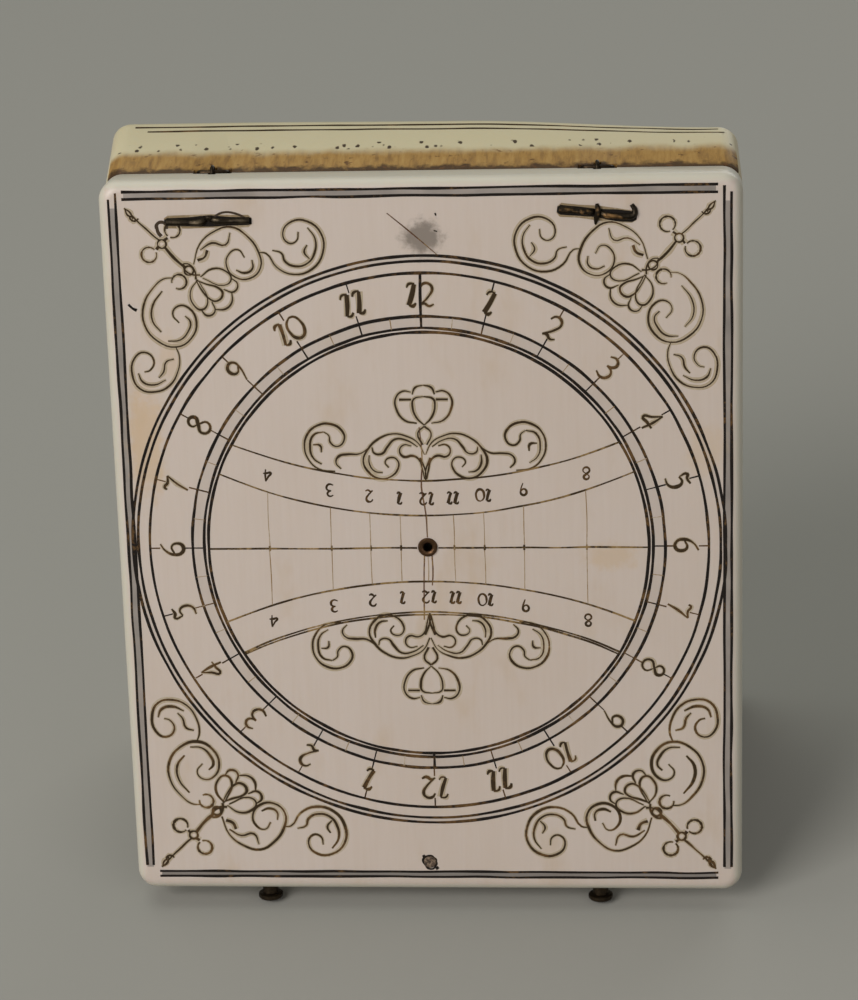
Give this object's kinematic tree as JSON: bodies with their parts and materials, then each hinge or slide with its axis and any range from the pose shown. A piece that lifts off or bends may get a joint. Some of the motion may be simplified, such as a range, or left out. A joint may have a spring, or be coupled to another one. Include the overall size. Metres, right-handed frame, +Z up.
{
  "type": "pocket sundial",
  "caption": "Two-leaf ivory pocket sundial with wire hinges, an engraved hour dial, hook catches, a moon disc and a compass, standing part open as a tent.",
  "frame": {"origin": "on the resting surface, at the middle of the footprint of the dial as it stands", "axes": "+X to the right seen from the front, -Y to the front, which the engraved upper leaf faces, +Z up"},
  "size_m": [0.062, 0.0406, 0.0752],
  "materials": {
    "ivory_upper": "satin",
    "ivory_lower": "satin",
    "hinge_wire": "satin",
    "brass": "satin",
    "dark_brass": "satin",
    "pewter": "satin",
    "silver": "satin",
    "peg": "matte",
    "card": "matte",
    "steel": "polished",
    "glass": "polished"
  },
  "bodies": {
    "lower_leaf": {"lower_leaf": "ivory_lower", "hinge_wire_lower_left": "hinge_wire", "hinge_wire_lower_right": "hinge_wire", "hook_rivet_left": "brass", "hook_rivet_right": "brass", "compass_card": "card", "guide_pins": "brass", "compass_glass": "glass", "glass_ring": "brass"},
    "upper_leaf": {"upper_leaf": "ivory_upper", "hinge_wire_upper_left": "hinge_wire", "hinge_wire_upper_right": "hinge_wire", "gnomon_ferrule": "dark_brass", "lunar_rove": "brass", "string_peg": "peg", "catch_stud_left": "dark_brass", "catch_stud_right": "dark_brass"},
    "moon_disc": {"lunar_disc": "pewter"},
    "left_hook": {"catch_hook_left": "brass"},
    "right_hook": {"catch_hook_right": "brass"},
    "hour_ring": {"hour_ring": "pewter"},
    "calendar": {"calendar_disc": "silver", "drive_hub": "brass", "hub_plate": "brass", "calendar_rivet": "brass", "compass_pivot": "steel"},
    "needle": {"compass_needle": "steel", "needle_cap": "brass"}
  },
  "joints": [
    {"name": "leaf_hinge", "type": "hinge", "parent": "lower_leaf", "child": "upper_leaf", "pos_m": [0, -0.00143, 0.07384], "axis": [-1, 0, 0], "range_deg": [-22, 156]},
    {"name": "moon_disc_turn", "type": "hinge", "parent": "upper_leaf", "child": "moon_disc", "pos_m": [0, -0.00951, 0.03773], "axis": [0, -0.9787, 0.2051], "continuous": true},
    {"name": "left_hook_turn", "type": "hinge", "parent": "lower_leaf", "child": "left_hook", "pos_m": [-0.0175, 0.01615, 0.0013], "axis": [0, 0.1765, -0.9843], "range_deg": [0, 90]},
    {"name": "right_hook_turn", "type": "hinge", "parent": "lower_leaf", "child": "right_hook", "pos_m": [0.0166, 0.01615, 0.0013], "axis": [0, -0.1765, 0.9843], "range_deg": [0, 90]},
    {"name": "calendar_turn", "type": "hinge", "parent": "lower_leaf", "child": "calendar", "pos_m": [0, 0.01358, 0.0298], "axis": [0, 0.9843, 0.1765], "range_deg": [-60, 60]},
    {"name": "hour_ring_slide", "type": "slide", "parent": "lower_leaf", "child": "hour_ring", "axis": [0, 0.1765, -0.9843], "range_m": [-0.00191, 0.00191]},
    {"name": "needle_swing", "type": "hinge", "parent": "lower_leaf", "child": "needle", "pos_m": [0, 0.0095, 0.02906], "axis": [0, 0.9843, 0.1765], "continuous": true}
  ],
  "couplings": [
    {"joint": "hour_ring_slide", "follows": "calendar_turn", "m_per_rad": 0.0018194}
  ]
}
